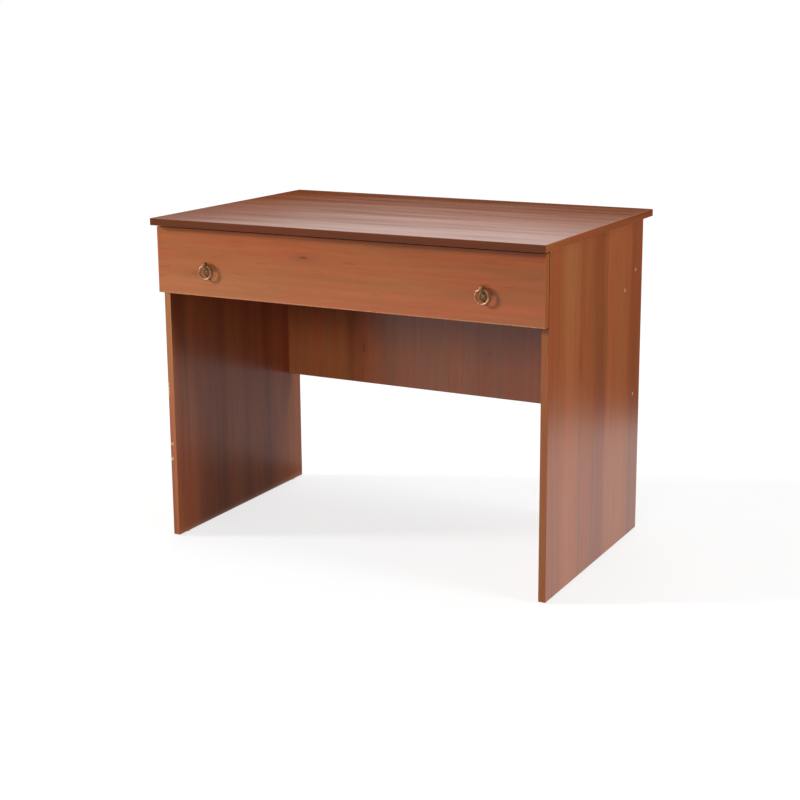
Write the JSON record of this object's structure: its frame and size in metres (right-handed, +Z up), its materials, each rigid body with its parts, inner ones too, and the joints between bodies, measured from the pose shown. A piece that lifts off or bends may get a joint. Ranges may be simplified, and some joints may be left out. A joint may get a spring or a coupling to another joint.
{
  "type": "writing desk",
  "caption": "Walnut-finish writing desk with an overhanging top, panel sides, a modesty panel and a wide drawer on roller slides, opened by hanging ring pulls.",
  "frame": {"origin": "on the floor, under the middle of the top", "axes": "+X to the sitter's right along the width, +Y from the drawer's side to the rear, +Z up"},
  "size_m": [0.95, 0.624, 0.75],
  "materials": {
    "walnut_laminate": "satin walnut decor on chipboard",
    "walnut_edge_band": "satin walnut decor band",
    "dark_edge_band": "satin dark brown band",
    "antique_brass": "aged, polished on the high spots",
    "zinc_steel": "zinc plated",
    "runner_enamel": "pale baked enamel",
    "nylon": "plain moulded",
    "hardboard": "smooth hardboard",
    "beech": "plain fluted beech",
    "glide_plastic": "plain moulded"
  },
  "bodies": {
    "carcass": {"top_panel": "walnut_laminate", "left_side_panel": "walnut_laminate", "right_side_panel": "walnut_laminate", "modesty_panel": "walnut_laminate", "rear_stretcher": "walnut_laminate", "top_rear_band": "walnut_edge_band", "top_left_band": "walnut_edge_band", "top_right_band": "walnut_edge_band", "left_side_front_band": "walnut_edge_band", "right_side_front_band": "walnut_edge_band", "left_side_rear_band": "walnut_edge_band", "right_side_rear_band": "walnut_edge_band", "modesty_lower_band": "walnut_edge_band", "stretcher_front_band": "walnut_edge_band", "top_front_band": "dark_edge_band", "corner_brackets": "zinc_steel", "bracket_screws": "zinc_steel", "carcass_confirmats": "zinc_steel", "cabinet_roller_pins": "zinc_steel", "cabinet_runner_screws": "zinc_steel", "left_cabinet_runner": "runner_enamel", "right_cabinet_runner": "runner_enamel", "carcass_dowels": "beech", "floor_glides": "glide_plastic"},
    "drawer": {"drawer_front": "walnut_laminate", "drawer_left_side": "walnut_laminate", "drawer_right_side": "walnut_laminate", "drawer_inner_front": "walnut_laminate", "drawer_back": "walnut_laminate", "drawer_front_bands": "walnut_edge_band", "drawer_box_bands": "walnut_edge_band", "left_pull_base": "antique_brass", "right_pull_base": "antique_brass", "drawer_box_confirmats": "zinc_steel", "drawer_front_screws": "zinc_steel", "drawer_bottom_nails": "zinc_steel", "drawer_roller_pins": "zinc_steel", "drawer_runner_screws": "zinc_steel", "pull_screws": "zinc_steel", "left_drawer_runner": "runner_enamel", "right_drawer_runner": "runner_enamel", "drawer_bottom": "hardboard"},
    "left_ring": {"left_pull_ring": "antique_brass"},
    "right_ring": {"right_pull_ring": "antique_brass"},
    "left_front_roller": {"left_cabinet_roller": "nylon"},
    "left_rear_roller": {"left_drawer_roller": "nylon"},
    "right_front_roller": {"right_cabinet_roller": "nylon"},
    "right_rear_roller": {"right_drawer_roller": "nylon"}
  },
  "joints": [
    {"name": "drawer_slide", "type": "slide", "parent": "carcass", "child": "drawer", "axis": [0, -1, 0], "range_m": [0, 0.34]},
    {"name": "left_ring_swing", "type": "hinge", "parent": "drawer", "child": "left_ring", "pos_m": [-0.336, -0.304, 0.6509], "axis": [-1, 0, 0], "range_deg": [-12, 192]},
    {"name": "right_ring_swing", "type": "hinge", "parent": "drawer", "child": "right_ring", "pos_m": [0.336, -0.304, 0.6509], "axis": [-1, 0, 0], "range_deg": [-12, 192]},
    {"name": "left_front_roller_turn", "type": "hinge", "parent": "carcass", "child": "left_front_roller", "pos_m": [-0.4488, -0.2595, 0.6145], "axis": [1, 0, 0], "continuous": true},
    {"name": "left_rear_roller_turn", "type": "hinge", "parent": "drawer", "child": "left_rear_roller", "pos_m": [-0.4467, 0.156, 0.613], "axis": [1, 0, 0], "continuous": true},
    {"name": "right_front_roller_turn", "type": "hinge", "parent": "carcass", "child": "right_front_roller", "pos_m": [0.4488, -0.2595, 0.6145], "axis": [1, 0, 0], "continuous": true},
    {"name": "right_rear_roller_turn", "type": "hinge", "parent": "drawer", "child": "right_rear_roller", "pos_m": [0.4467, 0.156, 0.613], "axis": [1, 0, 0], "continuous": true}
  ],
  "couplings": [
    {"joint": "left_front_roller_turn", "follows": "drawer_slide", "rad_per_m": 80},
    {"joint": "left_rear_roller_turn", "follows": "drawer_slide", "rad_per_m": 86.957},
    {"joint": "right_front_roller_turn", "follows": "drawer_slide", "rad_per_m": 80},
    {"joint": "right_rear_roller_turn", "follows": "drawer_slide", "rad_per_m": 86.957}
  ]
}
